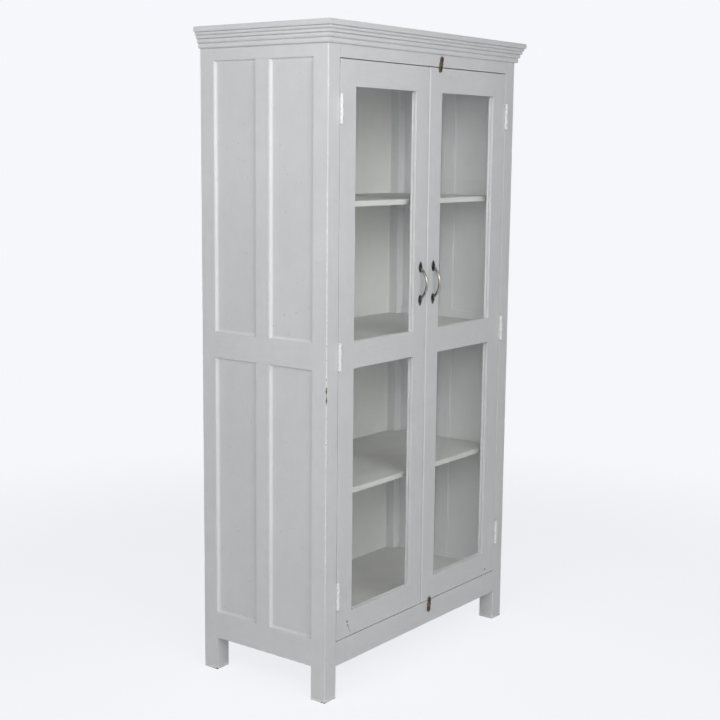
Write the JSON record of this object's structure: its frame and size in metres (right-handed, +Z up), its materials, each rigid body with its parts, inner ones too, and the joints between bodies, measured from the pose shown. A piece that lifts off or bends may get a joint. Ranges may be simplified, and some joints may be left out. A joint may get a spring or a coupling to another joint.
{
  "type": "curio cabinet",
  "caption": "Tall painted wooden display cabinet with framed side panels, a stepped crown, glazed double doors on butt hinges, inner shelves, bow pulls and turn buttons.",
  "frame": {"origin": "on the floor, in the middle of the footprint", "axes": "+Z up, +Y to the back, so the doors face -Y, and +X to the right as seen from the front"},
  "size_m": [0.972, 0.478, 1.83],
  "materials": {
    "painted_wood": "matt off-white paint over wood grain",
    "painted_panel": "matt off-white paint over thin board",
    "glass": "clear float glass",
    "pewter": "dark pewter, rubbed bright on the bow",
    "old_brass": "dark aged brass",
    "painted_hinge": "off-white paint over steel",
    "steel": "plain zinc-plated"
  },
  "bodies": {
    "case": {"post_front_left": "painted_wood", "post_front_right": "painted_wood", "post_back_left": "painted_wood", "post_back_right": "painted_wood", "front_top_rail": "painted_wood", "front_bottom_rail": "painted_wood", "left_side_top_rail": "painted_wood", "left_side_mid_rail": "painted_wood", "left_side_bottom_rail": "painted_wood", "left_side_muntins": "painted_wood", "left_side_panels": "painted_panel", "right_side_top_rail": "painted_wood", "right_side_mid_rail": "painted_wood", "right_side_bottom_rail": "painted_wood", "right_side_muntins": "painted_wood", "right_side_panels": "painted_panel", "back_panel": "painted_panel", "back_top_rail": "painted_wood", "back_bottom_rail": "painted_wood", "top_board": "painted_wood", "crown_front": "painted_wood", "crown_left": "painted_wood", "crown_right": "painted_wood", "bottom_board": "painted_wood", "upper_shelf": "painted_wood", "middle_shelf": "painted_wood", "lower_shelf": "painted_wood", "shelf_cleats_left": "painted_wood", "shelf_cleats_right": "painted_wood", "door_stop": "painted_wood", "hinge_case_leaves": "painted_hinge", "hinge_pins": "steel", "hinge_case_screws": "steel", "turn_button_screws": "old_brass"},
    "left_door": {"left_hinge_stile": "painted_wood", "left_meeting_stile": "painted_wood", "left_door_top_rail": "painted_wood", "left_door_mid_rail": "painted_wood", "left_door_bottom_rail": "painted_wood", "left_upper_glass": "glass", "left_lower_glass": "glass", "left_glazing_beads": "painted_wood", "left_hinge_leaves": "painted_hinge", "left_hinge_screws": "steel", "left_handle": "pewter", "left_handle_screws": "steel"},
    "right_door": {"right_hinge_stile": "painted_wood", "right_meeting_stile": "painted_wood", "right_door_top_rail": "painted_wood", "right_door_mid_rail": "painted_wood", "right_door_bottom_rail": "painted_wood", "right_upper_glass": "glass", "right_lower_glass": "glass", "right_glazing_beads": "painted_wood", "right_hinge_leaves": "painted_hinge", "right_hinge_screws": "steel", "right_handle": "pewter", "right_handle_screws": "steel"},
    "top_turn_button": {"top_turn_button": "old_brass"},
    "bottom_turn_button": {"bottom_turn_button": "old_brass"}
  },
  "joints": [
    {"name": "left_door_hinge", "type": "hinge", "parent": "case", "child": "left_door", "pos_m": [-0.41, -0.2164, 0.957], "axis": [0, 0, -1], "range_deg": [0, 170]},
    {"name": "right_door_hinge", "type": "hinge", "parent": "case", "child": "right_door", "pos_m": [0.41, -0.2164, 0.957], "axis": [0, 0, 1], "range_deg": [0, 170]},
    {"name": "top_turn_button_pivot", "type": "hinge", "parent": "case", "child": "top_turn_button", "pos_m": [0.052, -0.214, 1.745], "axis": [0, -1, 0], "continuous": true},
    {"name": "bottom_turn_button_pivot", "type": "hinge", "parent": "case", "child": "bottom_turn_button", "pos_m": [0.04, -0.214, 0.151], "axis": [0, -1, 0], "continuous": true}
  ]
}
